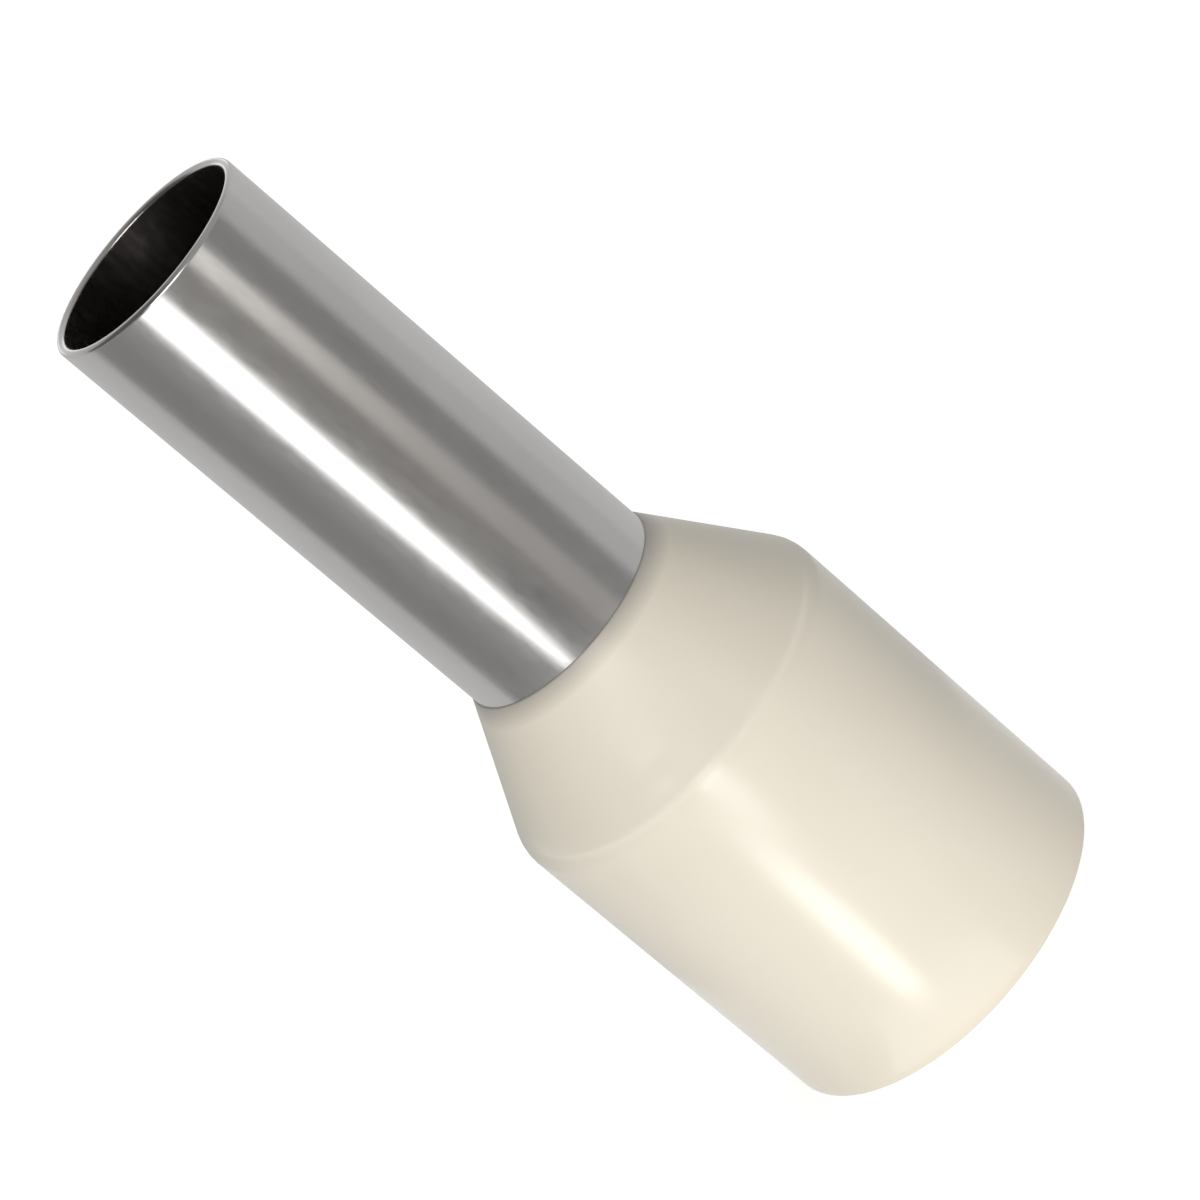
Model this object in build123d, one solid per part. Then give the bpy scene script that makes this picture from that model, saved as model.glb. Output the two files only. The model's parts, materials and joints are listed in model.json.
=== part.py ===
from build123d import *
from math import atan2, cos, sin, tan
import os

# Wire ferrule with a moulded collar, for a 10 mm2 stranded conductor. All sizes are in millimetres.
# It is modelled standing on the open end of its collar: +Z runs along the axis to the mouth of the metal
# sleeve, and the origin is the centre of the collar's rim. The wire enters from below.

# Metal sleeve, a thin tube
BORE_DIAMETER = 4.5
SLEEVE_WALL = 0.2
EXPOSED_LENGTH = 11.27

# Share of the sleeve's wall that each rounding of its mouth takes up, outside and inside
MOUTH_ROUND_SHARE = 0.475

# Trumpet flare at the sleeve's inner end, which holds the collar on and guides the strands in
FLARE_LENGTH = 0.9
FLARE_EDGE_ROUND = 0.05

# Share of the neck's length that the bend into the flare takes up
BEND_SHARE = 0.7

# Moulded collar
COLLAR_DIAMETER = 8.32
COLLAR_WALL = 0.4
STRAIGHT_LENGTH = 8.12
CONE_LENGTH = 3.02
CONE_WALL = 0.4
FRONT_LAND = 0.03
SHOULDER_ROUND = 0.8
FUNNEL_ROUND = 0.3
RIM_OUTER_ROUND = 0.06
RIM_INNER_ROUND = 0.12

# Clearances between the two pieces: the neck is pressed on line to line, the flare stops short of the ledge
NECK_CLEARANCE = 0.0
LEDGE_CLEARANCE = 0.05

# Radii worked out from the sizes above
bore_radius = BORE_DIAMETER / 2
sleeve_radius = bore_radius + SLEEVE_WALL
mouth_round = MOUTH_ROUND_SHARE * SLEEVE_WALL
neck_radius = sleeve_radius + NECK_CLEARANCE
front_radius = neck_radius + FRONT_LAND
collar_radius = COLLAR_DIAMETER / 2
entry_radius = collar_radius - COLLAR_WALL

# Heights above the rim
shoulder_height = STRAIGHT_LENGTH
front_height = shoulder_height + CONE_LENGTH
mouth_height = front_height + EXPOSED_LENGTH

# The seat, the flare and the funnel all run parallel to the cone
cone_angle = atan2(collar_radius - front_radius, CONE_LENGTH)
neck_length = (CONE_WALL / cos(cone_angle) - FRONT_LAND) / tan(cone_angle)
seat_height = front_height - neck_length
bend_radius = BEND_SHARE * neck_length / tan(cone_angle / 2)


def along_cone(corner, distance):
    """Point a distance down and outwards from a corner, parallel to the cone."""
    radius, height = corner
    return radius + distance * sin(cone_angle), height - distance * cos(cone_angle)


def across_cone(corner, distance):
    """Point a distance inwards from a corner, square to the cone."""
    radius, height = corner
    return radius - distance * cos(cone_angle), height - distance * sin(cone_angle)


def turned(corners):
    """Solid turned about Z from a closed outline of corners, each a (radius, height) point and its rounding."""
    outline = make_face(Polyline([point for point, rounding in corners], close=True))
    for point, rounding in corners:
        if rounding > 0:
            corner = outline.vertices().sort_by_distance(Vector(*point))[0]
            outline = fillet(corner, rounding)
    return revolve(Plane.XZ * outline, axis=Axis.Z)


def make_metal_sleeve():
    """Tube with a rolled mouth at the top and a flare at the bottom, which lies inside the collar's cone."""
    slant = FLARE_LENGTH / cos(cone_angle)
    outer_bend = (sleeve_radius, seat_height)
    outer_end = along_cone(outer_bend, slant)
    inner_end = across_cone(outer_end, SLEEVE_WALL)
    inner_bend = (bore_radius, seat_height - SLEEVE_WALL * tan(cone_angle / 2))
    return turned([
        ((sleeve_radius, mouth_height), mouth_round),
        (outer_bend, bend_radius),
        (outer_end, FLARE_EDGE_ROUND),
        (inner_end, FLARE_EDGE_ROUND),
        (inner_bend, bend_radius + SLEEVE_WALL),
        ((bore_radius, mouth_height), mouth_round),
    ])


def make_plastic_collar():
    """Collar with a tight neck, a seat and ledge round the flare, a funnel level with it and a straight entry."""
    slant = FLARE_LENGTH / cos(cone_angle) + LEDGE_CLEARANCE
    seat_top = (neck_radius, seat_height)
    seat_end = along_cone(seat_top, slant)
    ledge_end = across_cone(seat_end, SLEEVE_WALL)
    ledge_radius, ledge_height = ledge_end
    funnel_end = (entry_radius, ledge_height - (entry_radius - ledge_radius) / tan(cone_angle))
    return turned([
        ((collar_radius, 0), RIM_OUTER_ROUND),
        ((collar_radius, shoulder_height), SHOULDER_ROUND),
        ((front_radius, front_height), 0),
        ((neck_radius, front_height), 0),
        (seat_top, bend_radius),
        (seat_end, 0),
        (ledge_end, 0),
        (funnel_end, FUNNEL_ROUND),
        ((entry_radius, 0), RIM_INNER_ROUND),
    ])


os.makedirs("parts", exist_ok=True)
export_step(make_metal_sleeve(), "parts/metal_sleeve.step")
export_step(make_plastic_collar(), "parts/plastic_collar.step")
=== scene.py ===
import json
from math import acos, atan2, cos, pi, radians, sin, tan

import bpy
from mathutils import Matrix, Vector


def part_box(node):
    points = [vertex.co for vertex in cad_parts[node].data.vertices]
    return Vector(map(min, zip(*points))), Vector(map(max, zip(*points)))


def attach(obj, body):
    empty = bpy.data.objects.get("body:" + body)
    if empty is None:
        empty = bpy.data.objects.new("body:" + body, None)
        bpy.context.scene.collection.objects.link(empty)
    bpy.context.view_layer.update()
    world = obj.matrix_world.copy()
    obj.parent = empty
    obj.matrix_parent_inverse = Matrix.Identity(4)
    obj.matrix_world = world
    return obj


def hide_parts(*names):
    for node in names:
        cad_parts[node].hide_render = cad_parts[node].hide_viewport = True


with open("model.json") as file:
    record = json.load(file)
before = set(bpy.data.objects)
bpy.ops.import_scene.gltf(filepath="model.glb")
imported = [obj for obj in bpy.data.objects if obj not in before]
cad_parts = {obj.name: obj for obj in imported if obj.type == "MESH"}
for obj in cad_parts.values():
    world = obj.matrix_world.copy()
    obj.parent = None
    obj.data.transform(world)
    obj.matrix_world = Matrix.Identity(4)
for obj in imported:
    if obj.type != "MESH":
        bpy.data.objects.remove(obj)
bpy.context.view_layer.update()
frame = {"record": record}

# The looks of a wire ferrule with a moulded collar. The object stands on the collar's rim, +Z runs to the
# mouth of the metal sleeve, and azimuth 0 is the side that faces the camera. Azimuths grow anticlockwise,
# seen from above. Sizes are in millimetres, and become metres where an object is made.

MM = 0.001

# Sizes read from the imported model
mounts = {mount["name"]: mount for mount in frame["record"]["mounts"]}
bore_radius = mounts["conductor_bore"]["dims"]["r_mm"]
entry_radius = mounts["insulation_bore"]["dims"]["r_mm"]
sleeve_radius = mounts["terminal_pin"]["dims"]["r_mm"]
collar_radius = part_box("plastic_collar")[1].x / MM
front_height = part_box("plastic_collar")[1].z / MM
mouth_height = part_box("metal_sleeve")[1].z / MM

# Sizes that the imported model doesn't state, as in the CAD source
CONE_LENGTH = 3.02
CONE_WALL = 0.4
FRONT_LAND = 0.03
SHOULDER_ROUND = 0.8
FUNNEL_ROUND = 0.3
RIM_OUTER_ROUND = 0.06
RIM_INNER_ROUND = 0.12
MOUTH_ROUND_SHARE = 0.475
FLARE_LENGTH = 0.9
FLARE_EDGE_ROUND = 0.05
BEND_SHARE = 0.7
LEDGE_CLEARANCE = 0.05

# Rounding of the collar's tip, which only the looks have
FRONT_ROUND = 0.045

# Values worked out from the sizes above
sleeve_wall = sleeve_radius - bore_radius
mouth_round = MOUTH_ROUND_SHARE * sleeve_wall
front_radius = sleeve_radius + FRONT_LAND
shoulder_height = front_height - CONE_LENGTH
cone_angle = atan2(collar_radius - front_radius, CONE_LENGTH)
neck_length = (CONE_WALL / cos(cone_angle) - FRONT_LAND) / tan(cone_angle)
seat_height = front_height - neck_length
bend_radius = BEND_SHARE * neck_length / tan(cone_angle / 2)

# Fineness of the turned meshes: points lie an edge loop away from each corner, and then in even runs
SEGMENTS = 288
ARC_STEP = radians(9)
FEWEST_ARC_STEPS = 3
EDGE_LOOP = 0.02
SHORTEST_SPLIT = 3 * EDGE_LOOP
LONGEST_RUN = 0.6

# Noise: the range that most of it lies in, and how much finer detail it has
NOISE_LOW = 0.3
NOISE_HIGH = 0.7
RICH_DETAIL = 4.0
MIDDLE_DETAIL = 3.0
PLAIN_DETAIL = 2.0

# Tin plating: colours, roughness, and the sizes across and along the tube of clouds, grain and draw lines
TIN_DARK = (0.675, 0.66, 0.645)
TIN_LIGHT = (0.71, 0.70, 0.69)
TIN_SMOOTHEST = 0.2
TIN_ROUGHEST = 0.26
TIN_CLOUD_SIZE = (1.6, 1.6, 3.0)
TIN_GRAIN_SIZE = (0.12, 0.12, 0.5)
DRAW_LINE_SIZE = (0.08, 0.08, 4.0)
DRAW_LINE_DEPTH = 0.001
DRAW_LINE_STRENGTH = 0.3

# Painted shade inside the tube: a darker colour that stands in for the shade deep in the bore, ending just
# outside the bore's radius, over a short fade
BORE_SHADE_DARK = (0.35, 0.32, 0.30)
BORE_SHADE_LIGHT = (0.59, 0.55, 0.52)
BORE_SHADE_MARGIN = 0.003
BORE_SHADE_FADE = 0.012

# Ivory plastic: colours, roughness, sizes of mottle and grain, and the painted shade at the tip where the
# collar meets the sleeve
IVORY_DARK = (0.8625, 0.793, 0.663)
IVORY_LIGHT = (0.8875, 0.823, 0.693)
IVORY_SMOOTHEST = 0.243
IVORY_ROUGHEST = 0.273
MOTTLE_SIZE = (2.2, 2.2, 2.2)
IVORY_GRAIN_SIZE = (0.09, 0.09, 0.09)
IVORY_GRAIN_DEPTH = 0.0004
IVORY_GRAIN_STRENGTH = 0.25
PAINTED_JOINT_SHADE = (0.47, 0.437, 0.385)
PAINTED_SHADE_WIDTH = 0.235

# Sockets of a Mix node when it mixes colours
MIX_FACTOR = 0
MIX_LOW_COLOUR = 6
MIX_HIGH_COLOUR = 7
MIX_RESULT = 2

# Camera, from a fit to the object's outlines in the photograph
LENS = 154.23
SENSOR = 36
CAMERA_ELEVATION = radians(22.546)
CAMERA_ROLL = radians(-49.413)
CAMERA_RIGHT = -6.961
CAMERA_UP = 6.875
CAMERA_BACK = 106.872
CLIP_START = 1
CLIP_END = 10000

# Surroundings and floor, which look brighter than the light they give. At level 1 a light looks white
AMBIENT = 0.405
FLOOR_HALF_SIZE = 2000
FLOOR_COLOUR = 0.9
FLOOR_GLOW = 0.64

# Key lamp, wide and low in front
KEY_AZIMUTH = radians(-14)
KEY_DISTANCE = 260
KEY_WIDTH = 150
KEY_HEIGHT = 20
KEY_CENTRE = 11
KEY_LEVEL = 0.64

# Fill lamp, high behind on the right
FILL_AZIMUTH = radians(150)
FILL_ELEVATION = radians(60)
FILL_DISTANCE = 200
FILL_SIZE = 80
FILL_LEVEL = 0.15

# Cards and strips that only gloss shows, with the steps that their curves are divided into
NEUTRAL = (1, 1, 1)
WARM = (1, 0.97, 0.935)
SHEET_STEPS = 24
CEILING_STEPS = 48

# Wall of cards round the object: its radius, and the heights at which its cards meet
CARD_RADIUS = 21
CARD_LOW = 0
CARD_MIDDLE = 19
CARD_UPPER = 24.5
CARD_HIGH = 34

# Azimuths in degrees at which the cards of the wall meet
BEHIND = 180
LEFT_LOW = -98
LEFT_MIDDLE = -101
LEFT_UPPER = -104
LEFT_HIGH = -118
DIM = -66
FRONT_LEFT = -45
ABOVE = -10
FRONT_RIGHT = 42
GREY_LOW = 71
GREY_MIDDLE = 75
PALE = 104

# Cards of the wall: name, level, tint, and rows of a height and the azimuths where the card starts and ends
WALL_CARDS = [
    ("pale_behind_left", 0.585, NEUTRAL, [
        (CARD_LOW, -BEHIND, LEFT_LOW),
        (CARD_MIDDLE, -BEHIND, LEFT_MIDDLE),
        (CARD_UPPER, -BEHIND, LEFT_UPPER),
        (CARD_HIGH, -BEHIND, LEFT_HIGH),
    ]),
    ("dark_left", 0.26, NEUTRAL, [(CARD_LOW, LEFT_LOW, DIM), (CARD_MIDDLE, LEFT_MIDDLE, DIM)]),
    ("dim_left", 0.3, NEUTRAL, [(CARD_LOW, DIM, FRONT_LEFT), (CARD_MIDDLE, DIM, FRONT_LEFT)]),
    ("dark_front", 0.26, WARM, [
        (CARD_LOW, FRONT_LEFT, FRONT_RIGHT),
        (CARD_MIDDLE, FRONT_LEFT, FRONT_RIGHT),
    ]),
    ("dark_right", 0.25, NEUTRAL, [
        (CARD_LOW, FRONT_RIGHT, GREY_LOW),
        (CARD_MIDDLE, FRONT_RIGHT, GREY_MIDDLE),
    ]),
    ("grey_right", 0.51, NEUTRAL, [
        (CARD_LOW, GREY_LOW, PALE),
        (CARD_MIDDLE, GREY_MIDDLE, PALE),
        (CARD_HIGH, GREY_MIDDLE, PALE),
    ]),
    ("pale_behind_right", 0.59, NEUTRAL, [(CARD_LOW, PALE, BEHIND), (CARD_HIGH, PALE, BEHIND)]),
    ("middle_left", 0.3, NEUTRAL, [(CARD_MIDDLE, LEFT_MIDDLE, ABOVE), (CARD_UPPER, LEFT_UPPER, ABOVE)]),
    ("upper_left", 0.1, NEUTRAL, [(CARD_UPPER, LEFT_UPPER, ABOVE), (CARD_HIGH, LEFT_HIGH, ABOVE)]),
    ("upper_right", 0.34, NEUTRAL, [(CARD_MIDDLE, ABOVE, GREY_MIDDLE), (CARD_HIGH, ABOVE, GREY_MIDDLE)]),
]

# Ceiling card: its levels, and the places along Y and X between which it turns paler
CEILING_DARK = 0.1
CEILING_BACK = 0.5
CEILING_RIGHT = 0.36
CEILING_BACK_EDGES = (2, 9)
CEILING_RIGHT_EDGES = (-5, 5)

# Upright strips, a little in front of the wall. The right one grows with this power of its height
STRIP_RADIUS = 20
RISE_POWER = 3.0

# Cards and strips just over the floor
FLOOR_CARD_HEIGHT = 0.02
FLOOR_STRIP_HEIGHT = 0.05
FLOOR_RIGHT_EDGE = 71
END_STRIP_TOP = 1.2

# Small cards and strips close to the shoulder: their radii and heights
SCREEN_RADIUS = 6
SHOULDER_STRIP_RADIUS = SCREEN_RADIUS - 0.02
EDGE_STRIP_RADIUS = SCREEN_RADIUS - 0.1
SCREEN_FOOT = 7.4
SCREEN_SPLIT = 9.6
LID_HEIGHT = 9.02
RING_HEIGHT = 9.03


def around(azimuth, radius, height):
    """Point in metres at an azimuth in radians, and a radius and height in millimetres."""
    return Vector((radius * sin(azimuth), -radius * cos(azimuth), height)) * MM


def new_object(name, data):
    """Object of some data, in the scene."""
    thing = bpy.data.objects.new(name, data)
    bpy.context.scene.collection.objects.link(thing)
    return thing


# Turned meshes

def along_cone(corner, distance):
    """Point a distance down and outwards from a corner, parallel to the cone."""
    radius, height = corner
    return radius + distance * sin(cone_angle), height - distance * cos(cone_angle)


def across_cone(corner, distance):
    """Point a distance inwards from a corner, square to the cone."""
    radius, height = corner
    return radius - distance * cos(cone_angle), height - distance * sin(cone_angle)


def rounded_corner(before, corner, after, rounding):
    """Points of the arc that rounds a corner between its two neighbours."""
    here = Vector(corner)
    back = (Vector(before) - here).normalized()
    on = (Vector(after) - here).normalized()
    half_angle = acos(max(-1, min(1, back.dot(on)))) / 2
    reach = rounding / tan(half_angle)
    centre = here + (back + on).normalized() * (rounding / sin(half_angle))
    start = here + back * reach - centre
    end = here + on * reach - centre
    turn = atan2(start.x * end.y - start.y * end.x, start.dot(end))
    steps = max(FEWEST_ARC_STEPS, round(abs(turn) / ARC_STEP))
    points = []
    for step in range(steps + 1):
        angle = turn * step / steps
        points.append((
            centre.x + start.x * cos(angle) - start.y * sin(angle),
            centre.y + start.x * sin(angle) + start.y * cos(angle),
        ))
    return points


def run_points(start, end):
    """Points between two corners of a profile, the first and last an edge loop away from them."""
    run = end - start
    if run.length < SHORTEST_SPLIT:
        return []
    inner = run.length - 2 * EDGE_LOOP
    parts = max(1, round(inner / LONGEST_RUN))
    direction = run.normalized()
    places = [start + direction * (EDGE_LOOP + inner * part / parts) for part in range(parts + 1)]
    return [(place.x, place.y) for place in places]


def outline(corners):
    """Closed profile from corners with roundings: points, and the numbers of those that are sharp."""
    count = len(corners)
    arcs = []
    for number, (corner, rounding) in enumerate(corners):
        before = corners[number - 1][0]
        after = corners[(number + 1) % count][0]
        arcs.append(rounded_corner(before, corner, after, rounding) if rounding > 0 else [corner])
    points = []
    sharp = set()
    for number, arc in enumerate(arcs):
        if len(arc) == 1:
            sharp.add(len(points))
        points.extend(arc)
        points.extend(run_points(Vector(arc[-1]), Vector(arcs[(number + 1) % count][0])))
    return points, sharp


def turned(name, corners):
    """Mesh object turned about Z from a closed profile of corners."""
    points, sharp = outline(corners)
    count = len(points)
    vertices = []
    for segment in range(SEGMENTS):
        azimuth = 2 * pi * segment / SEGMENTS
        for radius, height in points:
            vertices.append(around(azimuth, radius, height))
    faces = []
    for segment in range(SEGMENTS):
        here = segment * count
        there = (segment + 1) % SEGMENTS * count
        for number in range(count):
            following = (number + 1) % count
            faces.append((here + number, there + number, there + following, here + following))
    mesh = bpy.data.meshes.new(name)
    mesh.from_pydata(vertices, [], faces)
    mesh.validate()
    for polygon in mesh.polygons:
        polygon.use_smooth = True
    for edge in mesh.edges:
        first, second = edge.vertices
        if first % count == second % count and first % count in sharp:
            edge.use_edge_sharp = True
    mesh.update()
    return new_object(name, mesh)


def make_sleeve():
    """Metal sleeve: tube with a rolled mouth at the top and a flare at the bottom."""
    slant = FLARE_LENGTH / cos(cone_angle)
    outer_bend = (sleeve_radius, seat_height)
    outer_end = along_cone(outer_bend, slant)
    inner_end = across_cone(outer_end, sleeve_wall)
    inner_bend = (bore_radius, seat_height - sleeve_wall * tan(cone_angle / 2))
    return turned("tin_sleeve", [
        ((sleeve_radius, mouth_height), mouth_round),
        (outer_bend, bend_radius),
        (outer_end, FLARE_EDGE_ROUND),
        (inner_end, FLARE_EDGE_ROUND),
        (inner_bend, bend_radius + sleeve_wall),
        ((bore_radius, mouth_height), mouth_round),
    ])


def make_collar():
    """Plastic collar: neck, seat and ledge round the flare, funnel and straight entry."""
    slant = FLARE_LENGTH / cos(cone_angle) + LEDGE_CLEARANCE
    seat_top = (sleeve_radius, seat_height)
    seat_end = along_cone(seat_top, slant)
    ledge_end = across_cone(seat_end, sleeve_wall)
    ledge_radius, ledge_height = ledge_end
    funnel_end = (entry_radius, ledge_height - (entry_radius - ledge_radius) / tan(cone_angle))
    return turned("ivory_collar", [
        ((collar_radius, 0), RIM_OUTER_ROUND),
        ((collar_radius, shoulder_height), SHOULDER_ROUND),
        ((front_radius, front_height), FRONT_ROUND),
        ((sleeve_radius, front_height), 0),
        (seat_top, bend_radius),
        (seat_end, 0),
        (ledge_end, 0),
        (funnel_end, FUNNEL_ROUND),
        ((entry_radius, 0), RIM_INNER_ROUND),
    ])


# Materials

class Nodes:
    """The emptied node tree of a material or world, with short calls to add and join nodes."""

    def __init__(self, owner):
        owner.use_nodes = True
        self.owner = owner
        self.tree = owner.node_tree
        self.tree.nodes.clear()

    def add(self, kind, **settings):
        node = self.tree.nodes.new(kind)
        for key, value in settings.items():
            setattr(node, key, value)
        return node

    def join(self, output, entry):
        self.tree.links.new(output, entry)

    def maths(self, operation, first, second):
        """Result of an operation on an output and another output or a number."""
        node = self.add("ShaderNodeMath", operation=operation)
        self.join(first, node.inputs[0])
        if isinstance(second, float):
            node.inputs[1].default_value = second
        else:
            self.join(second, node.inputs[1])
        return node.outputs[0]

    def noise(self, size, detail=MIDDLE_DETAIL):
        """Noise on the object, whose features are about as large as a size along each axis."""
        coordinates = self.add("ShaderNodeTexCoord")
        mapping = self.add("ShaderNodeMapping")
        mapping.inputs["Scale"].default_value = [1 / (length * MM) for length in size]
        self.join(coordinates.outputs["Object"], mapping.inputs["Vector"])
        noise = self.add("ShaderNodeTexNoise")
        noise.inputs["Scale"].default_value = 1.0
        noise.inputs["Detail"].default_value = detail
        self.join(mapping.outputs["Vector"], noise.inputs["Vector"])
        return noise.outputs["Fac"]

    def coordinate(self, axis):
        """Place on the object along one axis, in metres."""
        place = self.add("ShaderNodeTexCoord")
        parts = self.add("ShaderNodeSeparateXYZ")
        self.join(place.outputs["Object"], parts.inputs[0])
        return parts.outputs[axis]

    def radius(self):
        """Distance from the object's axis, in metres."""
        place = self.add("ShaderNodeTexCoord")
        across = self.add("ShaderNodeVectorMath", operation="MULTIPLY")
        across.inputs[1].default_value = (1, 1, 0)
        length = self.add("ShaderNodeVectorMath", operation="LENGTH")
        self.join(place.outputs["Object"], across.inputs[0])
        self.join(across.outputs[0], length.inputs[0])
        return length.outputs["Value"]

    def spread(self, value, low, high, from_low=NOISE_LOW, from_high=NOISE_HIGH):
        """A value between from_low and from_high, stretched to between low and high and kept there."""
        stretch = self.add("ShaderNodeMapRange")
        stretch.inputs["From Min"].default_value = from_low
        stretch.inputs["From Max"].default_value = from_high
        stretch.inputs["To Min"].default_value = low
        stretch.inputs["To Max"].default_value = high
        self.join(value, stretch.inputs["Value"])
        return stretch.outputs["Result"]

    def mixed(self, factor, low, high):
        """Colour between two colours or colour outputs, by a factor from 0 to 1."""
        mix = self.add("ShaderNodeMix", data_type="RGBA")
        self.join(factor, mix.inputs[MIX_FACTOR])
        for entry, colour in ((MIX_LOW_COLOUR, low), (MIX_HIGH_COLOUR, high)):
            if isinstance(colour, tuple):
                mix.inputs[entry].default_value = (*colour, 1)
            else:
                self.join(colour, mix.inputs[entry])
        return mix.outputs[MIX_RESULT]

    def bump(self, height, depth, strength):
        """Bump of a depth in millimetres."""
        bump = self.add("ShaderNodeBump")
        bump.inputs["Strength"].default_value = strength
        bump.inputs["Distance"].default_value = depth * MM
        self.join(height, bump.inputs["Height"])
        return bump.outputs["Normal"]

    def finished(self, surface):
        """The material, with its surface joined up."""
        output = self.add("ShaderNodeOutputMaterial")
        self.join(surface, output.inputs["Surface"])
        return self.owner


def material_nodes(name):
    """Empty node tree of a new material."""
    return Nodes(bpy.data.materials.new(name))


def tinned_copper():
    """Satin tin plating: nearly neutral grey, with faint draw lines along the tube and a fine grain, and
    painted shade in the bore.
    """
    nodes = material_nodes("tinned_copper")
    shader = nodes.add("ShaderNodeBsdfPrincipled")
    shader.inputs["Metallic"].default_value = 1.0
    clouds = nodes.spread(nodes.noise(TIN_CLOUD_SIZE, RICH_DETAIL), 0, 1)
    outside = nodes.mixed(clouds, TIN_DARK, TIN_LIGHT)
    # Painted shade: the bore's inner wall gets a darker colour that stands in for the shade in the hollow
    inside = nodes.mixed(clouds, BORE_SHADE_DARK, BORE_SHADE_LIGHT)
    inside_end = bore_radius + BORE_SHADE_MARGIN
    outside_start = inside_end + BORE_SHADE_FADE
    is_outside = nodes.spread(nodes.radius(), 0, 1, inside_end * MM, outside_start * MM)
    nodes.join(nodes.mixed(is_outside, inside, outside), shader.inputs["Base Color"])
    grain = nodes.noise(TIN_GRAIN_SIZE)
    nodes.join(nodes.spread(grain, TIN_SMOOTHEST, TIN_ROUGHEST), shader.inputs["Roughness"])
    lines = nodes.noise(DRAW_LINE_SIZE, PLAIN_DETAIL)
    nodes.join(nodes.bump(lines, DRAW_LINE_DEPTH, DRAW_LINE_STRENGTH), shader.inputs["Normal"])
    return nodes.finished(shader.outputs["BSDF"])


def ivory_plastic():
    """Semi-gloss moulded plastic: warm ivory with a soft mottle and a fine grain, and painted shade at its
    tip where it meets the sleeve.
    """
    nodes = material_nodes("ivory_plastic")
    shader = nodes.add("ShaderNodeBsdfPrincipled")
    mottle = nodes.noise(MOTTLE_SIZE)
    ivory = nodes.mixed(mottle, IVORY_DARK, IVORY_LIGHT)
    # Painted shade: the tip next to the sleeve gets a darker colour that stands in for the shade where the
    # two parts meet
    painted_shade_end = front_radius + PAINTED_SHADE_WIDTH
    painted_shade_fade = nodes.spread(nodes.radius(), 0, 1, front_radius * MM, painted_shade_end * MM)
    nodes.join(nodes.mixed(painted_shade_fade, PAINTED_JOINT_SHADE, ivory), shader.inputs["Base Color"])
    nodes.join(nodes.spread(mottle, IVORY_SMOOTHEST, IVORY_ROUGHEST, 0, 1), shader.inputs["Roughness"])
    grain = nodes.noise(IVORY_GRAIN_SIZE, PLAIN_DETAIL)
    nodes.join(nodes.bump(grain, IVORY_GRAIN_DEPTH, IVORY_GRAIN_STRENGTH), shader.inputs["Normal"])
    return nodes.finished(shader.outputs["BSDF"])


# Stage

def seen_light(nodes):
    """1 for camera, glossy and transmission rays, and 0 for all others."""
    path = nodes.add("ShaderNodeLightPath")
    first = nodes.maths("MAXIMUM", path.outputs["Is Camera Ray"], path.outputs["Is Glossy Ray"])
    return nodes.maths("MAXIMUM", first, path.outputs["Is Transmission Ray"])


def make_world():
    """Even pale surroundings: white where they are seen, and softer as light."""
    world = bpy.data.worlds.new("studio")
    bpy.context.scene.world = world
    nodes = Nodes(world)
    background = nodes.add("ShaderNodeBackground")
    nodes.join(nodes.spread(seen_light(nodes), AMBIENT, 1.0, 0, 1), background.inputs["Strength"])
    output = nodes.add("ShaderNodeOutputWorld")
    nodes.join(background.outputs[0], output.inputs["Surface"])


def make_floor():
    """Wide pale floor that shows white and keeps the object's shadow."""
    mesh = bpy.data.meshes.new("floor")
    reach = FLOOR_HALF_SIZE * MM
    corners = [(-reach, -reach, 0), (reach, -reach, 0), (reach, reach, 0), (-reach, reach, 0)]
    mesh.from_pydata(corners, [], [(0, 1, 2, 3)])
    floor = new_object("floor", mesh)
    nodes = material_nodes("floor")
    diffuse = nodes.add("ShaderNodeBsdfDiffuse")
    diffuse.inputs["Color"].default_value = (FLOOR_COLOUR, FLOOR_COLOUR, FLOOR_COLOUR, 1)
    glow = nodes.add("ShaderNodeEmission")
    nodes.join(nodes.maths("MULTIPLY", seen_light(nodes), FLOOR_GLOW), glow.inputs["Strength"])
    both = nodes.add("ShaderNodeAddShader")
    nodes.join(diffuse.outputs[0], both.inputs[0])
    nodes.join(glow.outputs[0], both.inputs[1])
    mesh.materials.append(nodes.finished(both.outputs[0]))
    nodes.owner.cycles.emission_sampling = "NONE"


def make_lamp(name, place, distance, width, height, level):
    """Soft lamp, not seen itself, that lights a surface square to it like surroundings of that level."""
    data = bpy.data.lights.new(name, "AREA")
    data.shape = "RECTANGLE"
    data.size = width * MM
    data.size_y = height * MM
    data.energy = level * (pi * distance * MM) ** 2
    lamp = new_object(name, data)
    lamp.location = place
    aim = Vector((0, 0, mouth_height / 2 * MM))
    lamp.rotation_euler = (aim - lamp.location).to_track_quat("-Z", "Y").to_euler()
    lamp.visible_glossy = False
    lamp.visible_camera = False


def make_lamps():
    """Wide key lamp low in front, a little to the left, and a weak one high behind on the right."""
    key_place = around(KEY_AZIMUTH, KEY_DISTANCE, KEY_CENTRE)
    make_lamp("key", key_place, KEY_DISTANCE, KEY_WIDTH, KEY_HEIGHT, KEY_LEVEL)
    fill_height = mouth_height / 2 + FILL_DISTANCE * sin(FILL_ELEVATION)
    fill_place = around(FILL_AZIMUTH, FILL_DISTANCE * cos(FILL_ELEVATION), fill_height)
    make_lamp("fill", fill_place, FILL_DISTANCE, FILL_SIZE, FILL_SIZE, FILL_LEVEL)


# Cards and strips of light that the gloss mirrors

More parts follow.
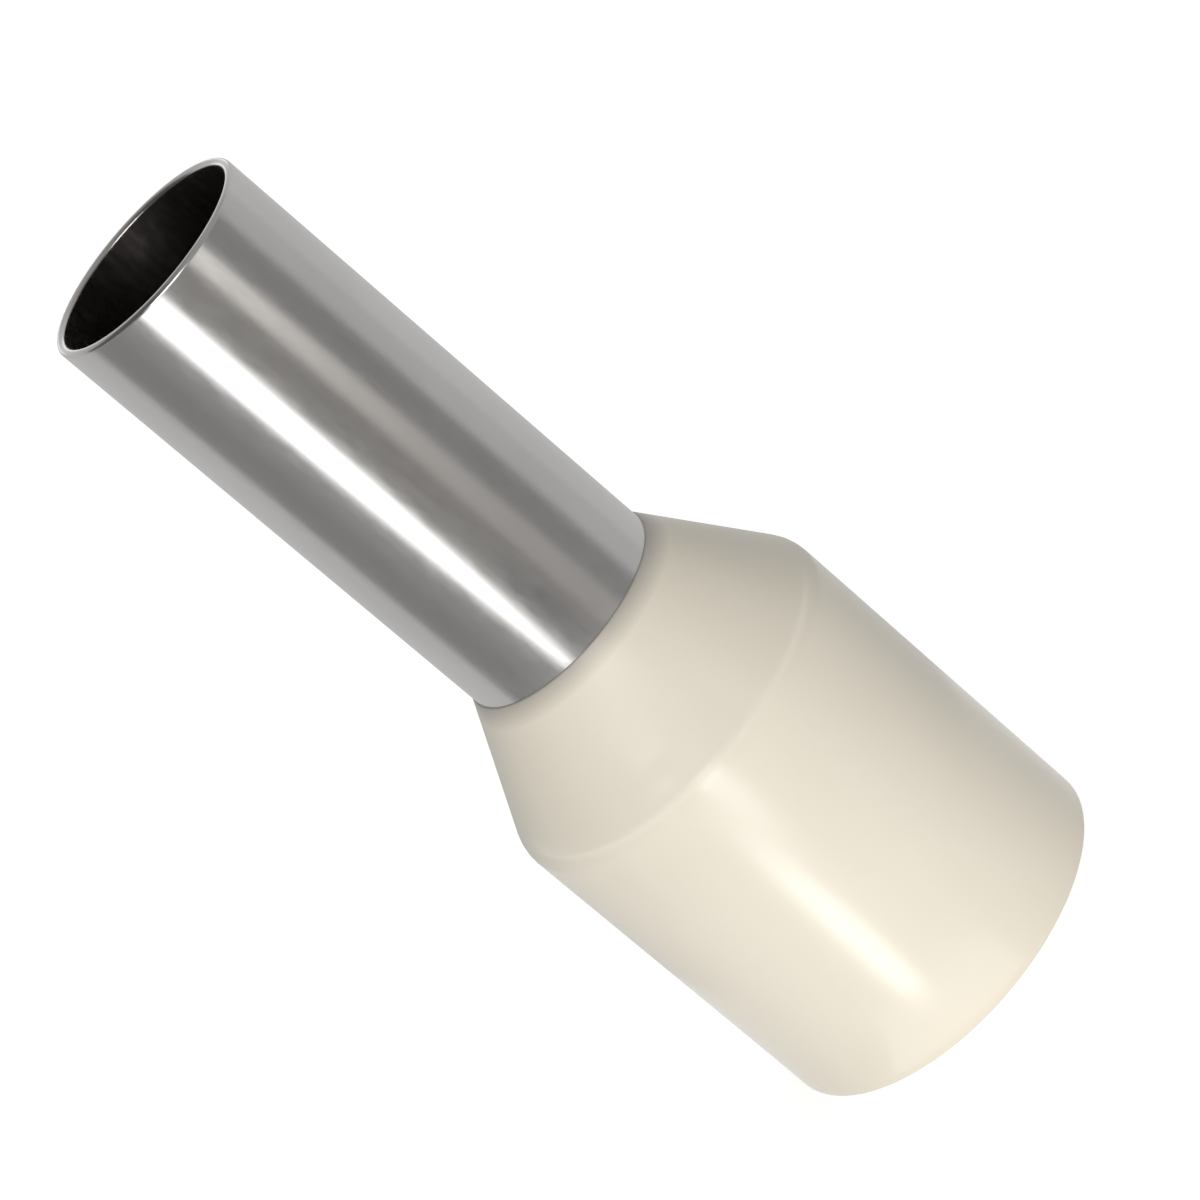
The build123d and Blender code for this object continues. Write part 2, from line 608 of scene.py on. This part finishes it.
def add_reflected(name, vertices, faces, tint):
    """Nodes and strength of a glowing mesh that shows in gloss only and casts no light or shadow."""
    mesh = bpy.data.meshes.new(name)
    mesh.from_pydata(vertices, [], faces)
    card = new_object(name, mesh)
    nodes = material_nodes(name)
    glow = nodes.add("ShaderNodeEmission")
    glow.inputs["Color"].default_value = (*tint, 1)
    mesh.materials.append(nodes.finished(glow.outputs[0]))
    card.visible_camera = False
    card.visible_diffuse = False
    card.visible_transmission = False
    card.visible_volume_scatter = False
    card.visible_shadow = False
    return nodes, glow.inputs["Strength"]


def make_sheet(name, rows, tint=NEUTRAL):
    """Nodes and strength of a sheet through rows of a distance, a height and the azimuths of its two ends."""
    vertices = []
    for distance, height, start, end in rows:
        for step in range(SHEET_STEPS + 1):
            azimuth = start + (end - start) * step / SHEET_STEPS
            vertices.append(around(radians(azimuth), distance, height))
    faces = []
    width = SHEET_STEPS + 1
    for row in range(len(rows) - 1):
        for step in range(SHEET_STEPS):
            corner = row * width + step
            faces.append((corner, corner + 1, corner + width + 1, corner + width))
    return add_reflected(name, vertices, faces, tint)


def make_card(name, rows, level, tint=NEUTRAL):
    """Sheet of one level that is too weak for the renderer to aim at."""
    nodes, strength = make_sheet(name, rows, tint)
    strength.default_value = level
    nodes.owner.cycles.emission_sampling = "NONE"


def make_strip(name, rows, level):
    """Sheet of one level that is bright enough for the renderer to aim at."""
    nodes, strength = make_sheet(name, rows)
    strength.default_value = level


def band(first, last, start, end):
    """Two rows, each a height or distance with the same two azimuths."""
    return [(first, start, end), (last, start, end)]


def upright(radius, rows):
    """Rows at one distance from the axis, from rows of a height and two azimuths."""
    return [(radius, height, start, end) for height, start, end in rows]


def level_at(height, rows):
    """Rows at one height, from rows of a distance and two azimuths."""
    return [(distance, height, start, end) for distance, start, end in rows]


def make_wall_cards():
    """Wall round the object: pale behind, dark in front, and darkest high on the left."""
    for name, level, tint, rows in WALL_CARDS:
        make_card(name, upright(CARD_RADIUS, rows), level, tint)


def make_ceiling_card():
    """Card over the object, dark on the left in front, and paler behind and on the right."""
    azimuths = [2 * pi * step / CEILING_STEPS for step in range(CEILING_STEPS)]
    vertices = [around(azimuth, CARD_RADIUS, CARD_HIGH) for azimuth in azimuths]
    nodes, strength = add_reflected("ceiling", vertices, [tuple(range(CEILING_STEPS))], NEUTRAL)
    back_edges = [edge * MM for edge in CEILING_BACK_EDGES]
    right_edges = [edge * MM for edge in CEILING_RIGHT_EDGES]
    back = nodes.spread(nodes.coordinate("Y"), CEILING_DARK, CEILING_BACK, *back_edges)
    right = nodes.spread(nodes.coordinate("X"), CEILING_DARK, CEILING_RIGHT, *right_edges)
    nodes.join(nodes.maths("MAXIMUM", back, right), strength)
    nodes.owner.cycles.emission_sampling = "NONE"


def make_rising_strip(name, rows, weak, strong):
    """Warm upright strip that grows ever faster from its lower level to its upper one."""
    nodes, strength = make_sheet(name, upright(STRIP_RADIUS, rows), WARM)
    rise = nodes.spread(nodes.coordinate("Z"), 0, 1, rows[0][0] * MM, rows[-1][0] * MM)
    curve = nodes.maths("POWER", rise, RISE_POWER)
    nodes.join(nodes.spread(curve, weak, strong, 0, 1), strength)


def make_upright_strips():
    """Strong strip on the left, weak one on the right, and two higher ones that light the mouth's lip."""
    left_rows = [
        (3, -32.5, -27.5),
        (6.3, -36.7, -23),
        (9.3, -38.6, -19.4),
        (12.5, -39.6, -18.0),
        (CARD_MIDDLE, -40, -14),
    ]
    make_strip("strip_left", upright(STRIP_RADIUS, left_rows), level=2.6)
    make_strip("strip_top", upright(STRIP_RADIUS, [(24, -26, 8), (28.5, -28, 14)]), level=5.0)
    behind_rows = band(first=23.5, last=27, start=152, end=208)
    make_strip("strip_behind", upright(STRIP_RADIUS, behind_rows), level=1.3)
    make_rising_strip("strip_right", [(1, 17, 43), (CARD_MIDDLE, 22, 39.5)], weak=0.38, strong=1.28)


def make_floor_cards():
    """Dark floor in front and pale floor behind, with the strips that light the cone and the collar."""
    dark_rows = band(first=15.5, last=CARD_RADIUS, start=-97.5, end=FLOOR_RIGHT_EDGE)
    make_card("dark_floor", level_at(FLOOR_CARD_HEIGHT, dark_rows), level=0.35)
    pale_rows = band(first=10, last=CARD_RADIUS, start=FLOOR_RIGHT_EDGE, end=262)
    make_card("pale_floor", level_at(FLOOR_CARD_HEIGHT, pale_rows), level=0.8)
    low_rows = [(7, -28, -18), (15.8, -31, -20)]
    make_strip("strip_low", level_at(FLOOR_STRIP_HEIGHT, low_rows), level=9.2)
    near_rows = band(first=4.4, last=7, start=-44, end=12)
    make_strip("strip_near", level_at(FLOOR_STRIP_HEIGHT, near_rows), level=2.2)
    end_rows = level_at(FLOOR_STRIP_HEIGHT, band(first=19.4, last=20.8, start=-19, end=-6))
    end_rows.append((20.8, END_STRIP_TOP, -19, -6))
    make_strip("strip_end", end_rows, level=9.0)


def make_shoulder_cards():
    """Screens that hide the floor's strips from the sleeve, and strips that light the shoulder's edge."""
    low_rows = band(first=SCREEN_FOOT, last=SCREEN_SPLIT, start=-34, end=4)
    make_card("screen_low", upright(SCREEN_RADIUS, low_rows), level=0.26)
    high_rows = [(SCREEN_SPLIT, -14, 4), (11, -14, 4), (12.2, -11, 2)]
    make_card("screen_high", upright(SCREEN_RADIUS, high_rows), level=0.15)
    shoulder_rows = band(first=SCREEN_FOOT, last=9, start=-15, end=-5)
    make_strip("strip_shoulder", upright(SHOULDER_STRIP_RADIUS, shoulder_rows), level=5.0)
    edge_rows = [(8.25, -112, 92), (8.7, -70, 36)]
    make_strip("strip_edge", upright(EDGE_STRIP_RADIUS, edge_rows), level=1.6)
    lid_rows = band(first=4.4, last=SCREEN_RADIUS, start=-18, end=-2)
    make_card("screen_lid", level_at(LID_HEIGHT, lid_rows), level=0.2)
    ring_rows = band(first=3.75, last=4.5, start=-36, end=6)
    make_card("screen_ring", level_at(RING_HEIGHT, ring_rows), level=0.24)


def make_camera():
    """Camera at the photograph's viewing angle, placed from the centre of the collar's rim."""
    data = bpy.data.cameras.new("camera")
    data.lens = LENS
    data.sensor_width = SENSOR
    data.clip_start = CLIP_START * MM
    data.clip_end = CLIP_END * MM
    camera = new_object("camera", data)
    back = Vector((0, -cos(CAMERA_ELEVATION), sin(CAMERA_ELEVATION)))
    level_right = Vector((1, 0, 0))
    level_up = back.cross(level_right)
    right = level_right * cos(CAMERA_ROLL) + level_up * sin(CAMERA_ROLL)
    up = level_up * cos(CAMERA_ROLL) - level_right * sin(CAMERA_ROLL)
    camera.location = (right * CAMERA_RIGHT + up * CAMERA_UP + back * CAMERA_BACK) * MM
    camera.rotation_mode = "QUATERNION"
    camera.rotation_quaternion = Matrix((right, up, back)).transposed().to_quaternion()
    bpy.context.scene.camera = camera


def dress(piece, node, material):
    """The piece takes a CAD node's place, with its material."""
    piece.data.materials.append(material)
    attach(piece, "root")
    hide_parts(node)


bpy.context.scene.view_settings.view_transform = "Standard"
make_camera()
make_world()
make_floor()
make_lamps()
make_wall_cards()
make_ceiling_card()
make_upright_strips()
make_floor_cards()
make_shoulder_cards()
dress(make_sleeve(), "metal_sleeve", tinned_copper())
dress(make_collar(), "plastic_collar", ivory_plastic())
